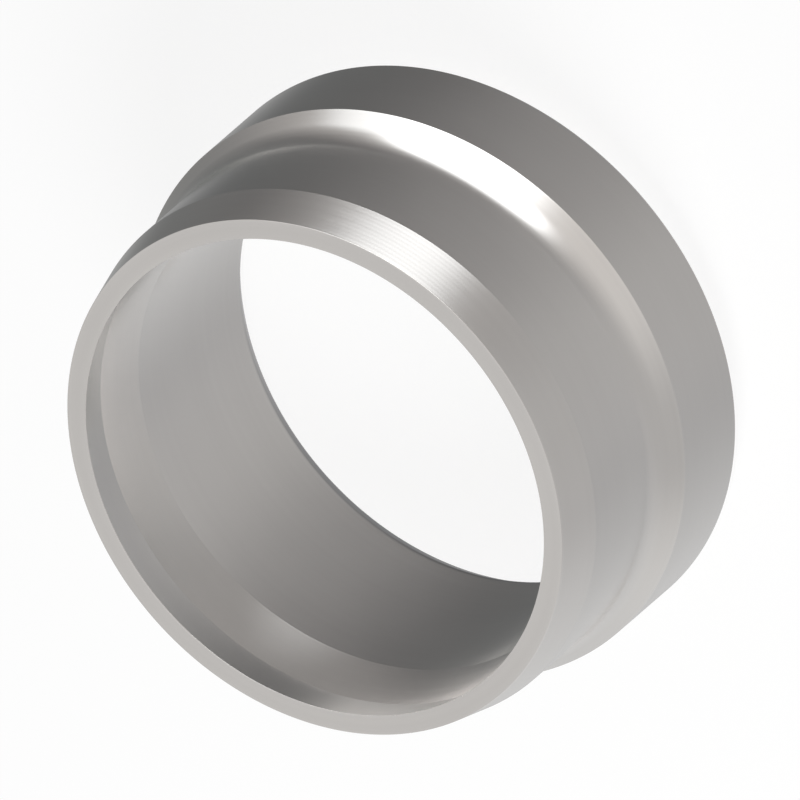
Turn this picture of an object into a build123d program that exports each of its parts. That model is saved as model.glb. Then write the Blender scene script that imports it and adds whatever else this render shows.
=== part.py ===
from build123d import *
import math
import os

# Cutting ring for a 24 degree compression fitting, heavy series, for a tube of 16 mm.
# The ring stands on its rear face at Z = 0, and its axis is Z. The nose with the cutting edge is on top.
# Lengths are in millimetres and angles in degrees.

# Tube and bore
tube_diameter = 16.0
tube_clearance = 0.2

# Lengths along the axis
ring_length = 10.0
nose_length = 1.52
collar_length = 3.08

# Body, measured outwards from the bore
waist_wall = 0.98
collar_step = 0.6

# Half angles of the cones, measured from the axis
seat_half_angle = 12.0
nut_half_angle = 45.0
ramp_half_angle = 36.0
entry_half_angle = 30.0

# Relief groove behind the cutting edge, measured from the front face
groove_front_length = 1.42
groove_rear_length = 1.81

# Rear face and bore entry
rear_land = 0.265
entry_depth = 0.315

# Blends
ramp_blend = 1.35
entry_blend = 0.5


def run_of(rise, half_angle):
    """Length along the axis of a cone that gains this much radius."""
    return rise / math.tan(math.radians(half_angle))


def rise_of(run, half_angle):
    """Radius that a cone gains over this length of the axis."""
    return run * math.tan(math.radians(half_angle))


# Radii
bore_radius = (tube_diameter + tube_clearance) / 2
waist_radius = bore_radius + waist_wall
collar_radius = waist_radius + collar_step
nose_radius = waist_radius - rise_of(nose_length, seat_half_angle)
entry_radius = bore_radius + entry_depth
rear_radius = entry_radius + rear_land
groove_radius = bore_radius + rise_of(groove_front_length, seat_half_angle)

# Heights above the rear face
shoulder_top = run_of(collar_radius - rear_radius, nut_half_angle)
collar_top = shoulder_top + collar_length
ramp_foot = collar_top + run_of(collar_step, ramp_half_angle)
nose_foot = ring_length - nose_length
groove_bottom = ring_length - groove_front_length
groove_foot = groove_bottom - groove_rear_length
entry_top = run_of(entry_depth, entry_half_angle)


def outer_points():
    """Outside of the section, from the rear face up to the front face."""
    return [
        (rear_radius, 0),
        (collar_radius, shoulder_top),
        (collar_radius, collar_top),
        (waist_radius, ramp_foot),
        (waist_radius, nose_foot),
        (nose_radius, ring_length),
    ]


def inner_points():
    """Inside of the section, from the cutting edge down to the rear face.

    The front flank of the relief groove is parallel to the nose, so the lip keeps one thickness.
    """
    return [
        (bore_radius, ring_length),
        (groove_radius, groove_bottom),
        (bore_radius, groove_foot),
        (bore_radius, entry_top),
        (entry_radius, 0),
    ]


def ring_section():
    """Half section of the ring, with its two blends."""
    with BuildSketch(Plane.XZ) as section:
        with BuildLine():
            Polyline(*outer_points(), *inner_points(), close=True)
        make_face()
        ramp_corner = section.vertices().sort_by_distance((waist_radius, ramp_foot))[0]
        fillet(ramp_corner, radius=ramp_blend)
        entry_corner = section.vertices().sort_by_distance((bore_radius, entry_top))[0]
        fillet(entry_corner, radius=entry_blend)
    return section.sketch


def cutting_ring():
    """The whole ring, turned from one piece of steel."""
    with BuildPart() as ring:
        add(ring_section())
        revolve(axis=Axis.Z, revolution_arc=360)
    return ring.part


os.makedirs("parts", exist_ok=True)
export_step(cutting_ring(), "parts/cutting_ring.step")
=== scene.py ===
import bpy
import math
from collections import namedtuple
from mathutils import Matrix, Vector


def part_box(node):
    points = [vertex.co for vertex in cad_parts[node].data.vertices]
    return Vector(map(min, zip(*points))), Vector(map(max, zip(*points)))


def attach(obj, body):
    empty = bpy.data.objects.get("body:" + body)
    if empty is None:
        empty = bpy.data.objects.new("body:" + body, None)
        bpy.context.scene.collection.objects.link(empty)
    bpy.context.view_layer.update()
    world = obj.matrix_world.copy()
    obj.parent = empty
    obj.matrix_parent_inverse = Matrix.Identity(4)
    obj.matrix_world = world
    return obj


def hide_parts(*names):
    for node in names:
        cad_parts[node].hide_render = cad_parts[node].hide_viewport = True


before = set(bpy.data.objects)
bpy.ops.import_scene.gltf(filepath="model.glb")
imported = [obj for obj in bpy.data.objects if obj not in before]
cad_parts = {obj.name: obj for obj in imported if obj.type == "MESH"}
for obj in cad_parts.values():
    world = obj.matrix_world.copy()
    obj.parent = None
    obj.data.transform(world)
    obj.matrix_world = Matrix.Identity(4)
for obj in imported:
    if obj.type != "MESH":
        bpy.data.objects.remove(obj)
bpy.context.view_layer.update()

MM = 0.001

# Section of the ring in millimetres. Length and collar come from the frame, and the rest are the
# values of the CAD part, apart from RAMP_BLEND.
low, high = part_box("cutting_ring")
RING_LENGTH = (high.z - low.z) / MM
COLLAR_RADIUS = (high.x - low.x) / 2 / MM
COLLAR_STEP = 0.6
WAIST_WALL = 0.98
NOSE_LENGTH = 1.52
COLLAR_LENGTH = 3.08
SEAT_HALF_ANGLE = 12.0
NUT_HALF_ANGLE = 45.0
RAMP_HALF_ANGLE = 36.0
ENTRY_HALF_ANGLE = 30.0
GROOVE_FRONT_LENGTH = 1.42
GROOVE_REAR_LENGTH = 1.81
REAR_LAND = 0.265
ENTRY_DEPTH = 0.315
ENTRY_BLEND = 0.5
# 1.35 in the CAD part. The shine in the photo suits the wider blend, and the two surfaces are
# 0.013 mm apart at most.
RAMP_BLEND = 1.6

# Edge breaks that the tool leaves, in millimetres
CUTTING_BREAK = 0.012
EDGE_BREAK = 0.015
SHOULDER_BREAK = 0.03

# Mesh: steps round the axis, and rings of points at these distances (mm) from each corner, those
# that lie within EDGE_SHARE of the straight to the next corner
TURN_STEPS = 720
ARC_STEP = math.radians(9.0)
LEAST_ARC_STEPS = 3
EDGE_RINGS = (0.03, 0.10, 0.25)
EDGE_SHARE = 0.45
# Corners that turn by more than WEAR_TURN get rubbed over WEAR_REACH (mm)
WEAR_REACH = 0.10
WEAR_TURN = math.radians(20.0)

# Steel. It mirrors in two shares, one of them softer. Pitch of the feed lines in mm
STEEL_COLOUR = (0.600, 0.592, 0.582)
STEEL_ROUGHNESS = 0.21
SOFTER_BY = 0.10
SOFTER_SHARE = 0.27
FEED_PITCH = 0.16

# Camera: orthographic, on the -Y side and so high that circles round the axis show 0.75 as high as
# wide, rolled so that the ring lies as in the photo. Lengths in mm
VIEW_ELEVATION = math.asin(0.75)
VIEW_ROLL = math.atan2(-2.0, -math.sqrt(3.0))
VIEW_WIDTH = 24.518
VIEW_SHIFT = (2.6127, 2.3684)
VIEW_DISTANCE = 120.0
VIEW_CLIP = (1.0, 10000.0)

# Studio that the metal mirrors, as a grey all round with soft lights and dark sides on it. Each of
# these is azimuth, elevation and reach in degrees, and colour
STUDIO_GREY = (0.666, 0.651, 0.639)
STUDIO_LOBES = (
    (120.7, -4.4, 77.1, (0.504, 0.500, 0.488)),
    (-36.7, 6.9, 91.3, (-0.506, -0.500, -0.488)),
    (-11.1, 12.3, 20.3, (1.084, 1.132, 1.160)),
    (97.8, -43.9, 91.7, (-0.498, -0.477, -0.466)),
    (-47.4, 38.2, 91.5, (0.679, 0.645, 0.608)),
    (142.7, -52.2, 62.4, (0.236, 0.231, 0.237)),
    (46.6, -76.6, 37.2, (-0.130, -0.130, -0.127)),
)
# Softbox: azimuth, elevation and lean in degrees, and sizes as tangents of angles
SOFTBOX_TOWARD = (-48.1, -0.1)
SOFTBOX_LEAN = 0.5
SOFTBOX_HALF_SIZE = (0.500, 0.575)
SOFTBOX_EDGE = 0.152
SOFTBOX_CORNER = 3.08
SOFTBOX_LIGHT = (2.196, 2.243, 2.266)
SOFTBOX_LEAST_DEPTH = 0.05
# The same studio, softened, for light that reaches the eye after two or more reflections
INNER_GREY = (0.015, 0.043, 0.039)
INNER_LOBES = (
    (-63.0, 12.2, 134.6, (2.456, 2.322, 2.270)),
    (121.3, -28.0, 67.7, (1.078, 1.024, 1.007)),
)
# Ray Depth is 2 where a ray finds the world after one reflection
ONE_REFLECTION = 2.5

# Light on the floor: the world's share of white, and one lamp. Lengths in mm
AMBIENT = 0.25
KEY_TOWARD = (170.0, 53.0)
KEY_DISTANCE = 160.0
KEY_SIZE = 90.0
KEY_LEVEL = 0.75

# Floor, with its size in mm. To the camera it is white glow by the share FLOOR_GLOW, and the rest
# is paint that takes the shadow
FLOOR_HALF_SIZE = 600.0
FLOOR_PAINT = (0.9, 0.9, 0.9, 1.0)
FLOOR_GLOW = 0.88

WHITE = (1.0, 1.0, 1.0, 1.0)

# A corner of the section with the radius of its blend, and a point of the finished section with
# its wear from 0 to 1 and its distance along the section. Lengths in mm
Corner = namedtuple("Corner", "radius height blend")
Ring = namedtuple("Ring", "point normal wear along")


def run_of(rise, half_angle):
    """Length along the axis of a cone that gains this much radius."""
    return rise / math.tan(math.radians(half_angle))


def rise_of(run, half_angle):
    """Radius that a cone gains over this length of the axis."""
    return run * math.tan(math.radians(half_angle))


def toward(azimuth, elevation):
    """Unit vector for a direction given in degrees."""
    a, e = math.radians(azimuth), math.radians(elevation)
    return Vector((math.cos(a) * math.cos(e), math.sin(a) * math.cos(e), math.sin(e)))


def section_corners():
    """Corners of the half section, up the outside and down the inside."""
    waist = COLLAR_RADIUS - COLLAR_STEP
    bore = waist - WAIST_WALL
    entry = bore + ENTRY_DEPTH
    rear = entry + REAR_LAND
    nose = waist - rise_of(NOSE_LENGTH, SEAT_HALF_ANGLE)
    groove = bore + rise_of(GROOVE_FRONT_LENGTH, SEAT_HALF_ANGLE)
    shoulder_top = run_of(COLLAR_RADIUS - rear, NUT_HALF_ANGLE)
    collar_top = shoulder_top + COLLAR_LENGTH
    ramp_foot = collar_top + run_of(COLLAR_STEP, RAMP_HALF_ANGLE)
    groove_bottom = RING_LENGTH - GROOVE_FRONT_LENGTH
    return [
        Corner(rear, 0.0, EDGE_BREAK),
        Corner(COLLAR_RADIUS, shoulder_top, SHOULDER_BREAK),
        Corner(COLLAR_RADIUS, collar_top, EDGE_BREAK),
        Corner(waist, ramp_foot, RAMP_BLEND),
        Corner(waist, RING_LENGTH - NOSE_LENGTH, EDGE_BREAK),
        Corner(nose, RING_LENGTH, EDGE_BREAK),
        Corner(bore, RING_LENGTH, CUTTING_BREAK),
        Corner(groove, groove_bottom, EDGE_BREAK),
        Corner(bore, groove_bottom - GROOVE_REAR_LENGTH, EDGE_BREAK),
        Corner(bore, run_of(ENTRY_DEPTH, ENTRY_HALF_ANGLE), ENTRY_BLEND),
        Corner(entry, 0.0, EDGE_BREAK),
    ]


def blended_corner(before, corner, after, radius):
    """The arc that rounds one corner: a list of (point, outward normal, side).

    The side is 1 on an outer corner and -1 on an inner one.
    """
    arriving = (corner - before).normalized()
    leaving = (after - corner).normalized()
    turn = arriving.angle_signed(leaving)
    side = 1.0 if turn < 0 else -1.0
    reach = radius * math.tan(abs(turn) / 2)
    start = corner - arriving * reach
    first_normal = Vector((arriving.y, -arriving.x))
    centre = start - first_normal * radius * side
    steps = max(LEAST_ARC_STEPS, math.ceil(abs(turn) / ARC_STEP))
    arc = []
    for i in range(steps + 1):
        normal = Matrix.Rotation(-turn * i / steps, 2) @ first_normal
        arc.append((centre + normal * radius * side, normal, side))
    return arc


def gets_rubbed(arc):
    """True for an outer corner that turns enough to get rubbed."""
    return arc[0][2] > 0 and abs(arc[0][1].angle_signed(arc[-1][1])) > WEAR_TURN


def section_rings():
    """The section as a list of Ring, and its whole length."""
    corners = section_corners()
    count = len(corners)
    places = [Vector((corner.radius, corner.height)) for corner in corners]
    arcs = [
        blended_corner(places[i - 1], places[i], places[(i + 1) % count], corners[i].blend)
        for i in range(count)
    ]
    rings = []

    def add_ring(point, normal, wear):
        along = rings[-1].along + (point - rings[-1].point).length if rings else 0.0
        rings.append(Ring(point, normal, float(wear), along))

    for i, arc in enumerate(arcs):
        next_arc = arcs[(i + 1) % count]
        rubbed, next_rubbed = gets_rubbed(arc), gets_rubbed(next_arc)
        for point, normal, _ in arc:
            add_ring(point, normal, rubbed)
        start, normal, end = arc[-1][0], arc[-1][1], next_arc[0][0]
        length = (end - start).length
        near = [reach for reach in EDGE_RINGS if reach < length * EDGE_SHARE]
        for distance in near + [length - reach for reach in reversed(near)]:
            wear = max(
                rubbed * (1 - distance / WEAR_REACH),
                next_rubbed * (1 - (length - distance) / WEAR_REACH),
                0.0,
            )
            add_ring(start.lerp(end, distance / length), normal, wear)
    return rings, rings[-1].along + (rings[0].point - rings[-1].point).length


def turned_ring():
    """The ring as one closed mesh of revolution with exact normals."""
    rings, section_length = section_rings()
    count = len(rings)
    vertices, normals, faces, along = [], [], [], []
    for step in range(TURN_STEPS):
        angle = 2 * math.pi * step / TURN_STEPS
        c, s = math.cos(angle), math.sin(angle)
        here, there = step * count, (step + 1) % TURN_STEPS * count
        for i, ring in enumerate(rings):
            vertices.append((ring.point.x * c * MM, ring.point.x * s * MM, ring.point.y * MM))
            normals.append((ring.normal.x * c, ring.normal.x * s, ring.normal.y))
            j = (i + 1) % count
            faces.append((here + i, there + i, there + j, here + j))
            next_along = rings[j].along if j else section_length
            along += [ring.along, ring.along, next_along, next_along]
    mesh = bpy.data.meshes.new("turned_ring")
    mesh.from_pydata(vertices, [], faces)
    mesh.shade_smooth()
    mesh.normals_split_custom_set_from_vertices(normals)
    wear = [ring.wear for ring in rings] * TURN_STEPS
    mesh.attributes.new("wear", "FLOAT", "POINT").data.foreach_set("value", wear)
    mesh.attributes.new("along", "FLOAT", "CORNER").data.foreach_set("value", along)
    mesh.update()
    turned = bpy.data.objects.new("turned_ring", mesh)
    bpy.context.scene.collection.objects.link(turned)
    return turned


class Nodes:
    """Short calls for building one node tree."""

    def __init__(self, tree):
        self.tree = tree
        self.tree.nodes.clear()

    def add(self, kind, inputs=None, **settings):
        node = self.tree.nodes.new("ShaderNode" + kind)
        for name, value in settings.items():
            setattr(node, name, value)
        for name, value in (inputs or {}).items():
            if isinstance(value, bpy.types.NodeSocket):
                self.tree.links.new(value, node.inputs[name])
            else:
                node.inputs[name].default_value = value
        return node

    def math(self, operation, a, b=0.0, c=0.0, clamp=False):
        node = self.add("Math", {0: a, 1: b, 2: c}, operation=operation, use_clamp=clamp)
        return node.outputs[0]

    def vector(self, operation, *values):
        node = self.add("VectorMath", dict(enumerate(values)), operation=operation)
        return node.outputs["Vector"]

    def dot(self, a, b):
        return self.add("VectorMath", {0: a, 1: b}, operation="DOT_PRODUCT").outputs["Value"]

    def fade(self, value, start, end, low=0.0, high=1.0):
        """Smooth step from low at start to high at end."""
        node = self.add(
            "MapRange",
            {"Value": value, "From Min": start, "From Max": end, "To Min": low, "To Max": high},
            interpolation_type="SMOOTHSTEP",
        )
        return node.outputs["Result"]

    def total(self, start, *parts):
        """start plus each value times its weight."""
        for value, weight in parts:
            start = self.math("MULTIPLY_ADD", value, weight, start)
        return start

    def mix(self, share, first, second):
        """Shader that shows share of the second and the rest of the first."""
        return self.add("MixShader", {0: share, 1: first, 2: second}).outputs[0]


def steel_material():
    """Satin turned steel with feed lines round the axis, faint clouding and rubbed edges."""
    material = bpy.data.materials.new("turned_steel")
    material.use_nodes = True
    n = Nodes(material.node_tree)
    position = n.add("TexCoord").outputs["Object"]
    xyz = n.add("SeparateXYZ", {0: position}).outputs
    along = n.add("Attribute", attribute_name="along").outputs["Fac"]
    wear = n.add("Attribute", attribute_name="wear").outputs["Fac"]
    angle = n.math("ARCTAN2", xyz["Y"], xyz["X"])
    east, north = n.math("COSINE", angle), n.math("SINE", angle)

    def turning_marks(per_mm, drift, detail):
        """Noise along the section, centred on zero, which changes slowly round the axis."""
        vector = n.add("CombineXYZ", {
            "X": n.math("MULTIPLY", along, per_mm),
            "Y": n.math("MULTIPLY", east, drift),
            "Z": n.math("MULTIPLY", north, drift),
        }).outputs[0]
        noise = n.add(
            "TexNoise", {"Vector": vector, "Scale": 1.0, "Detail": detail, "Roughness": 0.6}
        )
        return n.math("SUBTRACT", noise.outputs["Fac"], 0.5)

    def patches(size_mm, detail):
        """Noise over the whole surface, centred on zero."""
        noise = n.add(
            "TexNoise", {"Vector": position, "Scale": 1.0 / (size_mm * MM), "Detail": detail}
        )
        return n.math("SUBTRACT", noise.outputs["Fac"], 0.5)

    feed = n.math("SINE", n.math("MULTIPLY_ADD", along, 2 * math.pi / FEED_PITCH, angle))
    lines = turning_marks(per_mm=5.0, drift=0.35, detail=3.0)
    bands = turning_marks(per_mm=0.9, drift=0.6, detail=2.0)
    cloud = patches(size_mm=3.8, detail=4.0)
    grain = patches(size_mm=0.17, detail=2.0)
    # Edges are rubbed in patches, more so where the cloud is bright
    rubbed = n.math("MULTIPLY", wear, n.total(0.75, (cloud, 2.0)), clamp=True)

    # What each pattern adds to the tone, the roughness and the height in mm
    tone = n.total(1.0, (lines, 0.06), (bands, 0.04), (cloud, 0.06), (rubbed, 0.035))
    rough = n.total(STEEL_ROUGHNESS, (lines, 0.06), (cloud, 0.06), (grain, 0.04), (rubbed, -0.03))
    height_mm = n.total(0.0, (feed, 0.00010), (lines, 0.0004), (bands, 0.0005))
    base = n.vector("MULTIPLY", tone, STEEL_COLOUR)
    bump = n.add("Bump", {"Strength": 1.0, "Distance": MM, "Height": height_mm}).outputs[0]

    def metal(roughness):
        return n.add(
            "BsdfPrincipled",
            {"Base Color": base, "Metallic": 1.0, "Roughness": roughness, "Normal": bump},
        ).outputs[0]

    softer = n.math("ADD", rough, SOFTER_BY)
    n.add("OutputMaterial", {"Surface": n.mix(SOFTER_SHARE, metal(rough), metal(softer))})
    return material


def floor_material():
    """White floor that keeps the shadow of the ring. The metal mirrors the studio behind it."""
    material = bpy.data.materials.new("white_floor")
    material.use_nodes = True
    n = Nodes(material.node_tree)
    rays = n.add("LightPath").outputs
    paint = n.add("BsdfDiffuse", {"Color": FLOOR_PAINT}).outputs[0]
    glow = n.add("Emission", {"Color": WHITE, "Strength": 1.0}).outputs[0]
    shown = n.mix(n.math("MULTIPLY", rays["Is Camera Ray"], FLOOR_GLOW), paint, glow)
    mirrored = n.math("MAXIMUM", rays["Is Glossy Ray"], rays["Is Transmission Ray"])
    clear = n.add("BsdfTransparent").outputs[0]
    n.add("OutputMaterial", {"Surface": n.mix(mirrored, shown, clear)})
    return material


def make_floor():
    size = FLOOR_HALF_SIZE * MM
    corners = [(-size, -size, 0), (size, -size, 0), (size, size, 0), (-size, size, 0)]
    mesh = bpy.data.meshes.new("floor")
    mesh.from_pydata(corners, [], [(0, 1, 2, 3)])
    floor = bpy.data.objects.new("floor", mesh)
    floor.data.materials.append(floor_material())
    bpy.context.scene.collection.objects.link(floor)


def make_key():
    """Round lamp that lights the floor, and that the metal doesn't mirror."""
    distance = KEY_DISTANCE * MM
    back = toward(*KEY_TOWARD)
    lamp = bpy.data.lights.new("key", "AREA")
    lamp.shape = "DISK"
    lamp.size = KEY_SIZE * MM
    # Watts that give the floor KEY_LEVEL of the light that shows as white
    lamp.energy = KEY_LEVEL * math.pi * distance ** 2 / back.z * math.pi
    key = bpy.data.objects.new("key", lamp)
    key.location = back * distance
    key.rotation_mode = "QUATERNION"
    key.rotation_quaternion = back.to_track_quat("Z", "Y")
    key.visible_camera = False
    key.visible_glossy = False
    bpy.context.scene.collection.objects.link(key)


def soft_lights(n, ray, grey, lobes):
    """Grey all round with each soft light or dark side added to it."""
    light = grey
    for azimuth, elevation, reach, colour in lobes:
        near = n.dot(ray, toward(azimuth, elevation))
        share = n.fade(near, math.cos(math.radians(reach)), 1.0)
        light = n.vector("MULTIPLY_ADD", share, colour, light)
    return light


def softbox_share(n, ray):
    """1 inside the softbox and 0 outside: a rectangle with round corners and soft edges."""
    facing = toward(*SOFTBOX_TOWARD)
    level = Vector((0.0, 0.0, 1.0)).cross(facing).normalized()
    upright = facing.cross(level)
    lean = math.radians(SOFTBOX_LEAN)
    top = upright * math.cos(lean) + level * math.sin(lean)
    side = level * math.cos(lean) - upright * math.sin(lean)
    depth = n.dot(ray, facing)
    least_depth = n.math("MAXIMUM", depth, SOFTBOX_LEAST_DEPTH)
    powers = []
    for half_size, direction in zip(SOFTBOX_HALF_SIZE, (top, side)):
        place = n.math("DIVIDE", n.dot(ray, direction), least_depth)
        outward = n.math("ABSOLUTE", n.math("DIVIDE", place, half_size))
        powers.append(n.math("POWER", outward, SOFTBOX_CORNER))
    outward = n.math("POWER", n.math("ADD", *powers), 1.0 / SOFTBOX_CORNER)
    share = n.fade(outward, 1.0 - SOFTBOX_EDGE, 1.0 + SOFTBOX_EDGE, 1.0, 0.0)
    return n.math("MULTIPLY", share, n.math("GREATER_THAN", depth, SOFTBOX_LEAST_DEPTH))


def make_world():
    """Plain white to the camera, and a pale studio with one softbox that only metal mirrors.

    Light that reaches the eye after two or more reflections comes from the same studio, softened.
    """
    world = bpy.data.worlds.new("studio")
    world.use_nodes = True
    n = Nodes(world.node_tree)
    ray = n.add("TexCoord").outputs["Generated"]
    rays = n.add("LightPath").outputs

    def background(colour, strength=1.0):
        return n.add("Background", {"Color": colour, "Strength": strength}).outputs[0]

    def lit_by(light):
        return background(n.vector("MAXIMUM", light, (0.0, 0.0, 0.0)))

    studio = soft_lights(n, ray, STUDIO_GREY, STUDIO_LOBES)
    studio = n.vector("MULTIPLY_ADD", softbox_share(n, ray), SOFTBOX_LIGHT, studio)
    inner = soft_lights(n, ray, INNER_GREY, INNER_LOBES)
    again = n.math("GREATER_THAN", rays["Ray Depth"], ONE_REFLECTION)
    metal = n.mix(again, lit_by(studio), lit_by(inner))

    plain = n.total(AMBIENT, (rays["Is Camera Ray"], 1.0 - AMBIENT))
    mirrored = n.math("MAXIMUM", rays["Is Glossy Ray"], rays["Is Transmission Ray"])
    n.add("OutputWorld", {"Surface": n.mix(mirrored, background(WHITE, plain), metal)})
    bpy.context.scene.world = world


def make_camera():
    data = bpy.data.cameras.new("camera")
    data.type = "ORTHO"
    data.ortho_scale = VIEW_WIDTH * MM
    data.clip_start, data.clip_end = (distance * MM for distance in VIEW_CLIP)
    camera = bpy.data.objects.new("camera", data)
    bpy.context.scene.collection.objects.link(camera)
    back = Vector((0.0, -math.cos(VIEW_ELEVATION), math.sin(VIEW_ELEVATION)))
    level_up = Vector((0.0, math.sin(VIEW_ELEVATION), math.cos(VIEW_ELEVATION)))
    level_right = Vector((1.0, 0.0, 0.0))
    right = level_right * math.cos(VIEW_ROLL) + level_up * math.sin(VIEW_ROLL)
    up = back.cross(right)
    front_centre = Vector((0.0, 0.0, RING_LENGTH))
    target = front_centre + right * VIEW_SHIFT[0] + up * VIEW_SHIFT[1]
    place = (target + back * VIEW_DISTANCE) * MM
    camera.matrix_world = Matrix((
        (right.x, up.x, back.x, place.x),
        (right.y, up.y, back.y, place.y),
        (right.z, up.z, back.z, place.z),
        (0.0, 0.0, 0.0, 1.0),
    ))
    bpy.context.scene.camera = camera


bpy.context.scene.view_settings.view_transform = "Standard"
make_camera()
make_world()
make_floor()
make_key()

ring = turned_ring()
ring.data.materials.append(steel_material())
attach(ring, "root")
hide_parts("cutting_ring")
